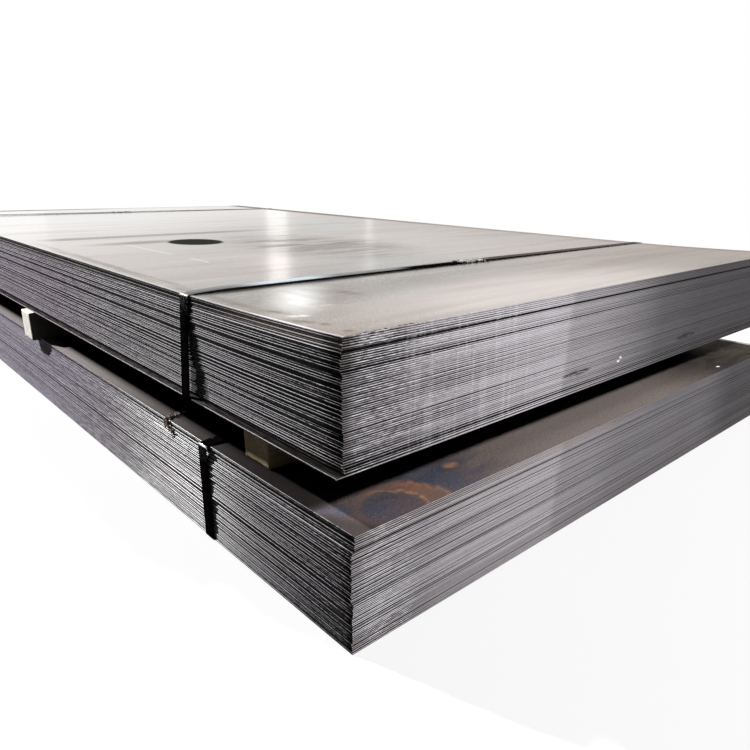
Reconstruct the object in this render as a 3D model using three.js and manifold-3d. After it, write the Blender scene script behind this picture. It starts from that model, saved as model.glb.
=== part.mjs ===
import * as THREE from 'three';
import { mergeVertices } from 'three/addons/utils/BufferGeometryUtils.js';
import Module from 'manifold-3d';

const wasm = await Module();
wasm.setup();

// Two strapped bundles of flat steel sheet, one on the other, with timber bearers between them.
// Millimetres. X runs across the sheets, Y along them, Z up; the near end is the one at -Y.

// Sheets
const sheetWidth = 1250;
const sheetLength = 2500;
const sheetThick = 2.5;
const airGap = 0.1; // left between two sheets by their slight waviness
const gapDepth = 12; // how far that gap is cut in from the edges of a lift
const sideScatter = 0.9; // how unevenly the sheets are lined up, across
const endScatter = 0.8; // the same, along

// Straps
const strapWidth = 25;
const strapThick = 0.9;
const strapClear = 0.3; // between a strap's upright run and the nearest sheet edge
const strapLean = 0.2; // more of it at the foot, where the run starts to lean in
const footSheets = 4; // sheets at the bottom of a bundle that set where the foot stands
const nearStrapIn = 360; // middle of the near strap from the near end of the upper bundle
const lowerStrapIn = 347; // the same on the lower bundle
const farStrapIn = 300; // middle of the far straps from the far end
const strapBow = 3; // how far the slack top run stands off the top sheet
const bowStart = 8; // from the left edge, where it leaves the sheet
const bowRun = 52; // length over which it lifts

// Seals, folded round the straps where their ends meet, on the top run
const sealLength = 80;
const sealThick = 1;
const sealOff = 32; // middle of the seal from the middle of the bundle, to the left
const sealBow = 2; // how far the strap stands off the top sheet there

// Bearers
const bearerWidth = 65;
const bearerHigh = 65;
const bearerLength = sheetWidth; // they are cut to the width of the sheets
const bearerIn = 223; // middle of the end bearers from the ends of the upper bundle
const middleBearerIn = 1172; // middle of the middle bearer from the near end
const bearerSlip = 21; // how far the near and middle bearers are slid, each its own way

// The upper bundle is set back from the lower one
const lowerShiftX = -3.5;
const lowerShiftY = -16.5;

// Past the near strap the sheets spring apart. A lift is a group of sheets that stays together:
// count of sheets, rise of its lowest sheet at the near end, what each next sheet adds to the
// rise, how far its top sheet stands off from the true stack across and along, and how much
// further to the left its lowest sheet is.
const upperSpringFrom = nearStrapIn - strapWidth / 2 - 8; // from the near end, where it starts
const lowerSpringFrom = bearerIn - bearerWidth / 2 - 12; // the lower bundle is held by the bearer
const springSteps = 5; // flats that make up the bend

const upperLifts = [
  { node: 'upper_sheet_bottom', count: 1, rise: 0, step: 0, across: -9, along: 1.5, lean: 0 },
  { node: 'upper_lift_second', count: 2, rise: 2.2, step: 0.3, across: 1.2, along: -0.5, lean: 0.6 },
  { node: 'upper_lift_loose', count: 5, rise: 2.9, step: 0.5, across: 0.4, along: 0.5, lean: 1.6 },
  { node: 'upper_lift_low', count: 10, rise: 5.05, step: 0, across: 2.2, along: 0, lean: 2.4 },
  { node: 'upper_lift_middle', count: 10, rise: 5.2, step: 0, across: 0.4, along: 0.4, lean: 0.8 },
  { node: 'upper_lift_inner', count: 9, rise: 5.32, step: 0, across: 1.2, along: 0.2, lean: 0.8 },
  { node: 'upper_lift_high', count: 7, rise: 5.45, step: 0, across: 1, along: 0, lean: 1.8 },
  { node: 'upper_lift_fanned', count: 8, rise: 5.75, step: 0.03, across: 0.8, along: 0.5, lean: 2 },
  { node: 'upper_lift_top', count: 5, rise: 6.85, step: 0.05, across: 2.8, along: -0.5, lean: 1 },
  { node: 'upper_sheet_top', count: 1, rise: 7.2, step: 0, across: 2.4, along: -1, lean: 0 },
];

const lowerLifts = [
  { node: 'lower_sheet_bottom', count: 1, rise: 0, step: 0, across: -1.5, along: 0, lean: 0 },
  { node: 'lower_lift_base', count: 12, rise: 0, step: 0, across: 0.5, along: 0.5, lean: 2 },
  { node: 'lower_lift_low', count: 13, rise: 0.25, step: 0, across: 0.8, along: 0, lean: 1.6 },
  { node: 'lower_lift_middle', count: 13, rise: 0.5, step: 0, across: 0.2, along: 0.5, lean: 1.8 },
  { node: 'lower_lift_high', count: 12, rise: 0.8, step: 0, across: 0.4, along: 0, lean: 2 },
  { node: 'lower_lift_top', count: 6, rise: 1.6, step: 0.04, across: 4, along: -1.2, lean: 1.2 },
  { node: 'lower_sheet_top', count: 1, rise: 2, step: 0, across: 3.6, along: -1.6, lean: 0 },
];

const steelFinish = { color: 0x8f8c88, roughness: 0.45, metalness: 1 };
const strapFinish = { color: 0x1d1d20, roughness: 0.55, metalness: 0 };
const timberFinish = { color: 0xb79a72, roughness: 0.85, metalness: 0 };

const group = new THREE.Group();

function addPart(name, geometry, finish) {
  const mesh = new THREE.Mesh(geometry, new THREE.MeshStandardMaterial(finish));
  mesh.name = name;
  group.add(mesh);
  return mesh;
}

function toSolid(geometry) {
  const bare = geometry.clone();
  bare.deleteAttribute('normal');
  bare.deleteAttribute('uv');
  const welded = mergeVertices(bare, 1e-4);
  return new wasm.Manifold(new wasm.Mesh({
    numProp: 3,
    vertProperties: Float32Array.from(welded.attributes.position.array),
    triVerts: Uint32Array.from(welded.index.array),
  }));
}

function toGeometry(solid) {
  const mesh = solid.getMesh();
  const geometry = new THREE.BufferGeometry();
  const flat = new THREE.BufferAttribute(Float32Array.from(mesh.vertProperties), 3);
  geometry.setAttribute('position', flat);
  geometry.setIndex(new THREE.BufferAttribute(Uint32Array.from(mesh.triVerts), 1));
  const faceted = geometry.toNonIndexed();
  faceted.computeVertexNormals();
  return faceted;
}

// A side outline in (Y, Z), which may have a hole, drawn out across X from `from` over `wide`.
function acrossX(shape, from, wide) {
  const geometry = new THREE.ExtrudeGeometry(shape, { depth: wide, bevelEnabled: false });
  const turn = new THREE.Matrix4().makeBasis(
    new THREE.Vector3(0, 1, 0),
    new THREE.Vector3(0, 0, 1),
    new THREE.Vector3(1, 0, 0),
  );
  geometry.applyMatrix4(turn);
  geometry.translate(from, 0, 0);
  return geometry;
}

// A cross outline in (X, Z), which may have a hole, drawn out along Y from `from` over `long`.
function alongY(shape, from, long) {
  const geometry = new THREE.ExtrudeGeometry(shape, { depth: long, bevelEnabled: false });
  const turn = new THREE.Matrix4().makeBasis(
    new THREE.Vector3(1, 0, 0),
    new THREE.Vector3(0, 0, 1),
    new THREE.Vector3(0, -1, 0),
  );
  geometry.applyMatrix4(turn);
  geometry.translate(0, from + long, 0);
  return geometry;
}

// A repeatable scatter between -1 and 1 for the n-th sheet.
function scatter(n, salt) {
  const wave = Math.sin(n * 12.9898 + salt * 78.233) * 43758.5453;
  return 2 * (wave - Math.floor(wave)) - 1;
}

// Height that a sheet has gained at y by springing up towards the near end.
function springAt(y, place, rise) {
  const gone = Math.max(0, (place.nearEnd + place.springFrom - y) / place.springFrom);
  return rise * Math.pow(gone, 1.6);
}

// The outline of a strip from the near end to the far end whose faces spring up by two rises.
function stripOutline(near, far, low, high, place, riseLow, riseHigh) {
  const stops = [far];
  if (riseLow || riseHigh) {
    for (let n = 0; n < springSteps; n += 1) {
      stops.push(place.nearEnd + place.springFrom * (1 - n / springSteps));
    }
  }
  stops.push(near);
  const top = stops.map((y) => new THREE.Vector2(y, high + springAt(y, place, riseHigh)));
  const under = stops.map((y) => new THREE.Vector2(y, low + springAt(y, place, riseLow)));
  return new THREE.Shape(top.concat(under.reverse()));
}

// One lift: every sheet a thin sprung slab at its own place, tied by a core set in from the
// edges, so that the gap between two sheets shows on all four sides.
function liftSolid(lift, first, low, place) {
  const pitch = sheetThick + airGap;
  let solid = null;
  const edges = [];
  for (let n = 0; n < lift.count; n += 1) {
    const rise = lift.rise + lift.step * n;
    const lean = lift.count > 1 ? lift.lean * (1 - n / (lift.count - 1)) : 0;
    const off = lift.across - lean + sideScatter * scatter(first + n, 1);
    const x = place.middleX + off - sheetWidth / 2;
    const y = place.nearEnd + lift.along + endScatter * scatter(first + n, 2);
    const z = low + n * pitch;
    const outline = stripOutline(y, y + sheetLength, z, z + sheetThick, place, rise, rise);
    const slab = toSolid(acrossX(outline, x, sheetWidth));
    solid = solid ? solid.add(slab) : slab;
    edges.push({ left: x, right: x + sheetWidth, low: z, high: z + sheetThick });
  }
  if (lift.count > 1) {
    const riseTop = lift.rise + lift.step * (lift.count - 1);
    const outline = stripOutline(
      place.nearEnd + lift.along + gapDepth,
      place.nearEnd + lift.along + sheetLength - gapDepth,
      low + sheetThick / 2,
      low + (lift.count - 1) * pitch + sheetThick / 2,
      place,
      lift.rise,
      riseTop,
    );
    const left = place.middleX + lift.across - sheetWidth / 2 + gapDepth;
    solid = solid.add(toSolid(acrossX(outline, left, sheetWidth - 2 * gapDepth)));
  }
  return { solid, edges };
}

// Stacks the lifts of a bundle from `low` up and returns its top and its sheet edges.
function stackLifts(lifts, low, place) {
  let z = low;
  let first = 0;
  let edges = [];
  for (const lift of lifts) {
    const made = liftSolid(lift, first, z, place);
    addPart(lift.node, toGeometry(made.solid), steelFinish);
    edges = edges.concat(made.edges);
    z += lift.count * sheetThick + (lift.count - 1) * airGap;
    first += lift.count;
  }
  return { low, high: z, edges, middleX: place.middleX };
}

// How far out the foot of a strap's upright run stands, past the few lowest sheets.
function strapFoot(bundle, side) {
  const lowest = bundle.edges.slice(0, footSheets);
  return strapClear + strapLean + Math.max(...lowest.map((e) => (side < 0 ? -e.left : e.right)));
}

// How far out its head stands for that foot, so that the straight run clears every other sheet.
function strapHead(bundle, foot, side) {
  const needs = bundle.edges.slice(footSheets).map((edge) => {
    const out = side < 0 ? -edge.left : edge.right;
    const up = (edge.high - bundle.low) / (bundle.high - bundle.low);
    return foot + (out + strapClear - foot) / up;
  });
  return Math.max(...needs);
}

// The slack top run over the top sheet: where it bends, and how high it stands there.
function bowPoints(left, right, sealX) {
  const lifting = [0, 0.1, 0.4, 1].map((share) => (
    [left + bowStart + bowRun * share, strapBow * Math.sqrt(share)]
  ));
  return [
    ...lifting,
    [sealX - sealLength, sealBow],
    [sealX + sealLength, sealBow],
    [right - bowStart, 0],
  ];
}

// One face of a band as a closed loop of corners, each run `off` out from the sheets.
function bandLoop(bundle, off) {
  const leftFoot = -strapFoot(bundle, -1);
  const leftHead = -strapHead(bundle, -leftFoot, -1);
  const rightFoot = strapFoot(bundle, 1);
  const rightHead = strapHead(bundle, rightFoot, 1);
  const tall = bundle.high - bundle.low;
  const corner = (foot, head, z, side) => {
    const lean = (head - foot) / tall;
    const out = side * off * Math.sqrt(1 + lean * lean);
    return new THREE.Vector2(foot + lean * (z - bundle.low) + out, z);
  };
  const over = bundle.high + off;
  const bow = bowPoints(leftHead, rightHead, bundle.middleX - sealOff);
  return [
    corner(leftFoot, leftHead, bundle.low - off, -1),
    corner(rightFoot, rightHead, bundle.low - off, 1),
    corner(rightFoot, rightHead, over, 1),
    ...bow.reverse().map(([x, up]) => new THREE.Vector2(x, over + up)),
    corner(leftFoot, leftHead, over, -1),
  ];
}

// A section of a seal in (Y, Z): flat below, its folded edges cut off at the corners.
function sealLoop(middleY, low, high, wall) {
  const cut = wall / 2;
  const out = strapWidth / 2 + wall;
  return [
    [-out, low + cut], [cut - out, low], [out - cut, low], [out, low + cut],
    [out, high - cut], [out - cut, high], [cut - out, high], [-out, high - cut],
  ].map(([y, z]) => new THREE.Vector2(middleY + y, z));
}

// A strap right round a bundle, and the seal that holds its two ends together.
function addStrap(name, sealName, bundle, middleY) {
  const band = new THREE.Shape(bandLoop(bundle, strapThick));
  band.holes.push(new THREE.Path(bandLoop(bundle, 0)));
  addPart(name, alongY(band, middleY - strapWidth / 2, strapWidth), strapFinish);

  const low = bundle.high + sealBow;
  const high = low + strapThick;
  const sleeve = new THREE.Shape(sealLoop(middleY, low - sealThick, high + sealThick, sealThick));
  sleeve.holes.push(new THREE.Path([
    new THREE.Vector2(middleY - strapWidth / 2, low),
    new THREE.Vector2(middleY + strapWidth / 2, low),
    new THREE.Vector2(middleY + strapWidth / 2, high),
    new THREE.Vector2(middleY - strapWidth / 2, high),
  ]));
  const from = bundle.middleX - sealOff - sealLength / 2;
  addPart(sealName, acrossX(sleeve, from, sealLength), strapFinish);
}

function addBearer(name, slip, middleY, low) {
  const box = new THREE.BoxGeometry(bearerLength, bearerWidth, bearerHigh);
  box.translate(slip, middleY, low + bearerHigh / 2);
  addPart(name, box, timberFinish);
}

// Lower bundle, on its straps
const upperNear = -sheetLength / 2;
const lowerNear = upperNear + lowerShiftY;
const lowerPlace = { middleX: lowerShiftX, nearEnd: lowerNear, springFrom: lowerSpringFrom };
const lower = stackLifts(lowerLifts, strapThick, lowerPlace);
addStrap('lower_strap_near', 'lower_seal_near', lower, lowerNear + lowerStrapIn);
addStrap('lower_strap_far', 'lower_seal_far', lower, lowerNear + sheetLength - farStrapIn);

// Bearers
addBearer('bearer_near', bearerSlip, upperNear + bearerIn, lower.high);
addBearer('bearer_middle', -bearerSlip, upperNear + middleBearerIn, lower.high);
addBearer('bearer_far', 0, upperNear + sheetLength - bearerIn, lower.high);

// Upper bundle
const upperPlace = { middleX: 0, nearEnd: upperNear, springFrom: upperSpringFrom };
const upper = stackLifts(upperLifts, lower.high + bearerHigh, upperPlace);
addStrap('upper_strap_near', 'upper_seal_near', upper, upperNear + nearStrapIn);
addStrap('upper_strap_far', 'upper_seal_far', upper, upperNear + sheetLength - farStrapIn);

// The origin is the middle of the whole stack on the floor
const box = new THREE.Box3().setFromObject(group);
for (const mesh of group.children) {
  mesh.geometry.translate(-(box.min.x + box.max.x) / 2, -(box.min.y + box.max.y) / 2, -box.min.z);
}

export default group;
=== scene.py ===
import math

import bmesh
import bpy
import numpy as np
from mathutils import Matrix, Vector, noise


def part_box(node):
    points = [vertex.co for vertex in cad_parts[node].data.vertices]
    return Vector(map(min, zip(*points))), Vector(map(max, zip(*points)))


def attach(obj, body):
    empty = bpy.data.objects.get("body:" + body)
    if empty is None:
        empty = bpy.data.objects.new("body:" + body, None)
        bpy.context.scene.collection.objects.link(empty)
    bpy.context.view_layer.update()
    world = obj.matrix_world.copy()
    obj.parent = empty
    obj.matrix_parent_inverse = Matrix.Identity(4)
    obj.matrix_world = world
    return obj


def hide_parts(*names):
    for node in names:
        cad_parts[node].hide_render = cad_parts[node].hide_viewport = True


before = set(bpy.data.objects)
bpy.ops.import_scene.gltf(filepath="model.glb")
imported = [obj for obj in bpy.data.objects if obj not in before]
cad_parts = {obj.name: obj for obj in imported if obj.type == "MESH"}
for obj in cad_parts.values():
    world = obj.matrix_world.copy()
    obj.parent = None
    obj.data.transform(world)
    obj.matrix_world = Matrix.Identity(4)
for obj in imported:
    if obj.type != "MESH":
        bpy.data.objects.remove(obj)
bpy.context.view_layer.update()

mm = 0.001

# The near left corner of the upper bundle on the floor plan: finishes are placed from it
nearCorner = Vector((-0.625, -1.24148))
strapPlaces = {"near": 0.36, "far": 2.2}  # of the upper bundle, along its length in metres


def ripple(x, y, z):
    # smooth repeatable noise, about -1 to 1
    return noise.noise(Vector((x, y, z)))


def addObject(name, data):
    made = bpy.data.objects.new(name, data)
    bpy.context.scene.collection.objects.link(made)
    return made


def makeMesh(name, points, faces, materials=(), kinds=None, smooth=None):
    # kinds are the faces' materials by number
    mesh = bpy.data.meshes.new(name)
    mesh.from_pydata(points, [], faces)
    for material in materials:
        mesh.materials.append(material)
    if kinds is not None:
        mesh.polygons.foreach_set("material_index", kinds)
    if smooth is not None:
        mesh.polygons.foreach_set("use_smooth", smooth)
    mesh.update()
    return mesh


def makePiece(name, mesh):
    piece = addObject(name, mesh)
    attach(piece, "root")
    return piece


def setValues(mesh, **values):
    # one number for each point, which the finishes read by its name
    for name, numbers in values.items():
        mesh.attributes.new(name, "FLOAT", "POINT").data.foreach_set("value", numbers)


def skin(rings, count, closed=False):
    # the faces between rings of count points each, one ring after the other
    faces = []
    for n in range(rings if closed else rings - 1):
        here, there = n * count, (n + 1) % rings * count
        for k in range(count):
            j = (k + 1) % count
            faces.append((here + k, here + j, there + j, there + k))
    return faces


def linear(tone):
    # a tone as a screen shows it, 0 to 255, turned into the linear one that shaders take
    c = tone / 255
    return c / 12.92 if c <= 0.04045 else ((c + 0.055) / 1.055) ** 2.4


# Shader maths

def operators(kind):
    # an operator and its reflected form
    def plain(self, other):
        return self.nodes.maths(kind, self, other)

    def reflected(self, other):
        return self.nodes.maths(kind, other, self)

    return plain, reflected


class Wire:
    # an output socket that takes part in sums like a number
    def __init__(self, nodes, socket):
        self.nodes = nodes
        self.socket = socket

    __add__, __radd__ = operators("ADD")
    __sub__, __rsub__ = operators("SUBTRACT")
    __mul__, __rmul__ = operators("MULTIPLY")
    __truediv__, __rtruediv__ = operators("DIVIDE")
    __pow__, __rpow__ = operators("POWER")

    def __abs__(self):
        return self.nodes.maths("ABSOLUTE", self)

    def band(self, low, high, start=0.0, end=1.0):
        # smoothly from start at low to end at high
        return self.nodes.node("MapRange", {"interpolation_type": "SMOOTHSTEP"}, {
            0: self, 1: low, 2: high, 3: start, 4: end,
        })

    def near(self, place, outer, inner):
        # 1 within inner of the place, 0 beyond outer
        return abs(self - place).band(outer, inner)


class Nodes:
    # a node tree, and the nodes that finishes and the world share
    def __init__(self, tree):
        self.tree = tree

    def node(self, kind, settings, sockets, out=0):
        # any node, from its type, its settings and the values or wires of its sockets
        made = self.tree.nodes.new("ShaderNode" + kind)
        for key, value in settings.items():
            if key == "stops":
                self.setStops(made.color_ramp, value)
            else:
                setattr(made, key, value)
        for key, value in sockets.items():
            self.join(value, made.inputs[key])
        return Wire(self, made.outputs[out])

    def setStops(self, colourRamp, stops):
        while len(colourRamp.elements) > 1:
            colourRamp.elements.remove(colourRamp.elements[-1])
        for n, (place, tone) in enumerate(stops):
            element = colourRamp.elements[0] if n == 0 else colourRamp.elements.new(place)
            element.position = place
            element.color = (tone, tone, tone, 1)

    def join(self, value, socket):
        if isinstance(value, Wire):
            self.tree.links.new(value.socket, socket)
        else:
            socket.default_value = value

    def maths(self, operation, *values):
        return self.node("Math", {"operation": operation}, dict(enumerate(values)))

    def larger(self, value, *others):
        for other in others:
            value = self.maths("MAXIMUM", value, other)
        return value

    def fraction(self, value):
        return self.maths("FRACT", value)

    def distance(self, across, along):
        return (across * across + along * along) ** 0.5

    def isSeen(self):
        # 1 for rays from the camera, from gloss and through glass
        path = self.node("LightPath", {}, {}).socket.node
        rays = ("Is Camera Ray", "Is Glossy Ray", "Is Transmission Ray")
        return self.larger(*[Wire(self, path.outputs[ray]) for ray in rays])


class Finish(Nodes):
    # a material; look holds its colours by name, x, y and z are the place in metres and
    # fromCorner is the place with x and y measured from the near corner
    def __init__(self, name, look, **constants):
        self.material = bpy.data.materials.new(name)
        self.material.use_nodes = True
        super().__init__(self.material.node_tree)
        self.look = look
        self.shader = self.tree.nodes["Principled BSDF"]
        self.feed(**constants)
        self.position = self.node("TexCoord", {}, {}, out="Object")
        self.x, self.y, self.z = self.split(self.position)
        self.fromCorner = self.x - nearCorner.x, self.y - nearCorner.y, self.z
        self.isUpper = self.z.band(0.18, 0.2)  # 1 from the middle of the bearers upwards

    def feed(self, **sockets):
        for name, value in sockets.items():
            self.join(value, self.shader.inputs[name.replace("_", " ")])
        return self.material

    def split(self, vector):
        made = self.node("SeparateXYZ", {}, {0: vector}).socket.node
        return [Wire(self, output) for output in made.outputs]

    def facing(self):
        # the direction that a face looks in, as three parts
        return self.split(self.node("NewGeometry", {}, {}, out="True Normal"))

    def attribute(self, name):
        return self.node("Attribute", {"attribute_name": name}, {}, out="Fac")

    def grain(self, scales, detail=3.0, rough=0.55, vector=None, twist=0.0):
        # noise, with its own scale per metre along each axis
        sockets = {0: vector or self.position, 1: scales}
        where = self.node("VectorMath", {"operation": "MULTIPLY"}, sockets)
        return self.node("TexNoise", {}, {
            "Vector": where, "Scale": 1.0, "Detail": detail, "Roughness": rough,
            "Distortion": twist,
        })

    def spot(self, x, y, wide, long, soft, turn=0.0):
        # 1 inside an oval round a point of the plan, measured from the near corner in metres
        across, along = self.x - (nearCorner.x + x), self.y - (nearCorner.y + y)
        if turn:
            cos, sin = math.cos(turn), math.sin(turn)
            across, along = across * cos - along * sin, across * sin + along * cos
        return self.distance(across / wide, along / long).band(1 + soft, 1 - soft)

    def bump(self, height, strength, distance):
        sockets = {"Strength": strength, "Distance": distance, "Height": height}
        return self.node("Bump", {}, sockets)

    def paint(self, colour):
        # a wire as it is, or the colour that has this name
        return colour if isinstance(colour, Wire) else (*map(linear, self.look[colour]), 1.0)

    def blend(self, share, first, second, how="MIX"):
        settings = {"data_type": "RGBA", "blend_type": how, "clamp_factor": True}
        sockets = {0: share, 6: self.paint(first), 7: self.paint(second)}
        return self.node("Mix", settings, sockets, out=2)

    def layers(self, colour, *coats):
        # lays coats over a colour one after the other, each with the share that it covers
        for share, coat in coats:
            colour = self.blend(share, colour, coat)
        return colour

    def cover(self, share, over):
        # lets another shader take over from the main one where share is 1
        under = Wire(self, self.shader.outputs[0])
        mixed = self.node("MixShader", {}, {0: share, 1: under, 2: over})
        self.join(mixed, self.tree.nodes["Material Output"].inputs[0])

    def dull(self, colour, normal):
        # a layer without gloss, such as dirt or oxide
        return self.node("BsdfPrincipled", {}, {
            "Base Color": colour, "Roughness": 1.0, "Specular IOR Level": 0.0, "Normal": normal,
        })


# Finishes of the plates

faceLook = {
    "steel": (152, 142, 132), "cleanerAndSheen": (200, 193, 186), "oily": (114, 103, 93),
    "rosy": (164, 137, 125), "cool": (134, 143, 139), "gritDark": (60, 56, 52),
    "gritPale": (236, 228, 222), "roughness": 0.2,
    "film": (92, 84, 77), "rimHighlight": (250, 249, 247), "darkDisk": (33, 32, 27),
    "hazeAndReflection": (184, 184, 183), "farSheen": (218, 214, 210), "pink": (196, 170, 160),
    "wiped": (222, 212, 206), "orange": (232, 196, 168), "rust": (140, 84, 62),
    "oilyEnd": (30, 24, 21), "grimeAndShade": (14, 10, 9), "notch": (12, 10, 10),
    "scratch": (250, 248, 246),
    # painted shade between two sheets, and the tone of the ledge where one stands out
    "shadeBetween": (10, 9, 9), "covered": (84, 79, 78), "coveredNear": (46, 42, 41),
    # middle, half sizes, softness and turn of each
    "fingers": (
        (0.029, 0.167, 0.007, 0.022, 0.8, -0.19), (0.018, 0.097, 0.008, 0.022, 0.8, -0.39),
        (0.029, 0.067, 0.006, 0.008, 0.8), (0.026, 0.020, 0.006, 0.007, 0.8),
    ),
}


def plateFaceFinish(name, look, marks):
    f = Finish(name, look, Metallic=1.0)
    x, y = f.fromCorner[:2]
    broad = f.grain((1.6, 2.4, 1))
    smear = f.grain((2.2, 26, 1), 4, 0.6, twist=0.4)  # long streaks across the sheets
    fine = f.grain((60, 900, 1), 2)  # rolling lines
    grit = f.grain((520, 520, 520), 2)
    hue = f.grain((2.1, 1.3, 1), 2)
    colour = f.layers(
        "oily",
        ((0.55 * broad + 0.45 * smear).band(0.36, 0.62), "steel"),
        (hue.band(0.5, 0.66) * 0.5, "rosy"),
        (hue.band(0.48, 0.34) * 0.5, "cool"),
        (smear.band(0.54, 0.74) * 0.35, "cleanerAndSheen"),
        (grit.band(0.5, 0.66) * 0.4, "gritDark"),
        (grit.band(0.48, 0.34) * 0.4, "gritPale"),
    )
    rough = look["roughness"] + 0.06 * (broad - 0.5) + 0.08 * (smear - 0.5) + 0.04 * (fine - 0.5)
    rough = rough + y.band(0.44, 0.16, 0.0, 0.14)
    height = 0.3 * f.grain((3, 9, 1), 2) + 0.02 * fine + 0.03 * grit
    normal = f.bump(height, 0.3, 0.004)
    colour, rough, film, filmColour = marks(f, colour, rough, smear)
    covered = f.attribute("sheetCovered")
    ledge = x.band(0.004, -0.002)
    hatch = f.grain((900, 40, 900), 3, 0.6).band(0.44, 0.62)
    ledgeTone = f.blend(y.band(0.5, 0.1), "covered", "coveredNear")
    # painted shade on the faces that lie between two sheets; the ledge keeps its own tone
    shadeBetween = f.blend(ledge * (0.15 + 0.85 * hatch), "shadeBetween", ledgeTone)
    filmColour = f.blend(covered, filmColour, shadeBetween)
    f.cover(f.larger(film, covered), f.dull(filmColour, normal))
    return f.feed(Base_Color=colour, Roughness=rough, Normal=normal)


def upperMarks(f, colour, rough, smear):
    x, y = f.fromCorner[:2]
    # painted reflection: paler towards the far left and the far end, as the sheets catch the bright
    # surroundings at a grazing angle; greasier towards the near right and between two wiped runs
    pink = x.band(0.45, 0.12) * y.near(0.8, 0.5, 0.25)
    wiped = f.spot(0.42, 0.05, 0.30, 0.14, 0.6)
    colour = f.layers(
        colour,
        ((y - 0.9 * x).band(0.5, 1.1) * 0.55, "cleanerAndSheen"),
        ((y - x).band(0.6, 1.6), "farSheen"),
        (pink * 0.3, "pink"),
        (wiped * 0.75, "wiped"),
    )
    wisp = f.grain((5, 34, 1), 4, 0.6, twist=0.8).band(0.42, 0.62)
    film = (x - 0.35 * y).band(0.45, 1.2) * 0.3
    # the far end and the right edge are oily
    oily = x.band(1.165, 1.225) * y.band(1.0, 1.9, 0.5, 0.9)
    oilyEnd = (y + 0.12 * (smear - 0.5)).band(2.43, 2.46) * x.band(0.8, 0.3, 0.3, 0.96)
    oilyEnd = oilyEnd * (0.5 + 0.5 * wisp)
    streaks = f.grain((1.6, 14, 1), 4, 0.6, twist=0.5).band(0.45, 0.7) * 0.16
    film = f.larger(
        f.larger(film, oily, oilyEnd) + streaks * y.band(2.2, 1.2),
        f.spot(0.52, 0.80, 0.16, 0.26, 0.6) * (0.2 + 0.45 * wisp),
        f.spot(0.178, 0.243, 0.014, 0.042, 0.7, -0.18) * (0.35 + 0.35 * wisp),
        f.spot(0.22, 1.06, 0.10, 0.03, 0.7) * 0.55,
    )
    # brown finger marks by the near end of the left edge, and a smear that runs along it
    marked = f.larger(*[f.spot(*finger) for finger in f.look["fingers"]])
    marked = marked * f.grain((60, 40, 1), 4, 0.6, twist=0.9).band(0.30, 0.52, 0.4, 1.0)
    along = abs(x - 0.022 - 0.02 * (smear - 0.5)).band(0.013, 0.003)
    along = along * y.band(1.25, 1.1) * y.band(0.12, 0.2)
    along = along * f.grain((40, 3, 1), 4, 0.6).band(0.3, 0.6)
    # the line that an earlier strap has left, and a long scratch
    row = abs(y - 1.222 - 0.03 * (smear - 0.5)).band(0.045, 0.008)
    row = row * x.band(0.75, 0.45) * x.band(0.02, 0.1)
    scratch = abs(x - 0.172 - 0.01 * y.band(1.1, 0.6)).band(0.004, 0.001)
    scratch = scratch * (y.near(0.95, 0.16, 0.13) + y.near(0.69, 0.045, 0.03))
    # rust at the corner and a faint orange wipe
    specks = f.grain((90, 90, 90), 4).band(0.46, 0.62)
    corner = f.spot(0.010, 0.022, 0.018, 0.03, 0.6) * specks
    wipe = f.spot(0.097, 0.165, 0.007, 0.018, 0.6, -1.21)
    wipe = wipe * f.grain((50, 200, 1)).band(0.34, 0.56)
    film = f.larger(film, along * 0.45, row * 0.55, corner * 0.2) * (1 - wipe)
    rust = specks * f.spot(0.0, 0.0, 0.04, 0.05, 0.5)
    # a pale haze below the strap, wiped out to one side: a dried residue with a painted reflection
    # of the lamp glow in it; and painted shade under both straps
    brush = f.grain((46, 8, 1), 4, 0.6, twist=0.6).band(0.34, 0.62)
    hazeAndReflection = f.larger(
        f.spot(0.102, 0.232, 0.037, 0.12, 0.9, 0.57) * (0.84 + 0.16 * brush),
        f.spot(0.150, 0.300, 0.045, 0.035, 0.9) * 0.75,
        f.spot(0.036, 0.127, 0.010, 0.017, 0.8, -1.03) * (0.6 + 0.4 * brush),
    )
    film = film * (1 - hazeAndReflection) + hazeAndReflection * 0.85
    under = x.band(0.26, 0.32, 0.3, 0.75) * x.band(0.62, 0.56, 0.27, 1.0)
    under = under * y.near(strapPlaces["far"], 0.0135, 0.0105)
    under = f.larger(y.near(strapPlaces["near"], 0.0138, 0.0105), under)
    notch = y.band(0.0045, 0.003) * x.near(0.065, 0.05, 0.035)
    notch = notch * f.grain((190, 60, 1), 2).band(0.50, 0.56)
    # painted highlight: a pale line along the top sheet's left arris, strongest about 0.12 m from
    # the near end
    rimHighlight = x.band(0.0062, 0.0045) * f.larger(y.near(0.12, 0.09, 0.05), 0.55)
    # a dark round patch on the top sheet, under a dull layer
    darkDisk = f.spot(0.325, 1.008, 0.062, 0.074, 0.12)
    colour = f.layers(colour, (scratch * 0.5, "scratch"), (wipe * 0.6, "orange"), (rimHighlight, "rimHighlight"))
    film = f.larger(film, marked * 0.75, under * 0.97, notch * 0.9) * (1 - rimHighlight)
    film = f.larger(film, darkDisk * 0.99)
    filmColour = f.layers(
        "film", (rust * 0.7, "rust"), (hazeAndReflection, "hazeAndReflection"), (marked, "film"), (oilyEnd, "oilyEnd"),
        (under, "grimeAndShade"), (notch, "notch"), (darkDisk, "darkDisk"),
    )
    return colour, rough, film, filmColour


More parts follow.
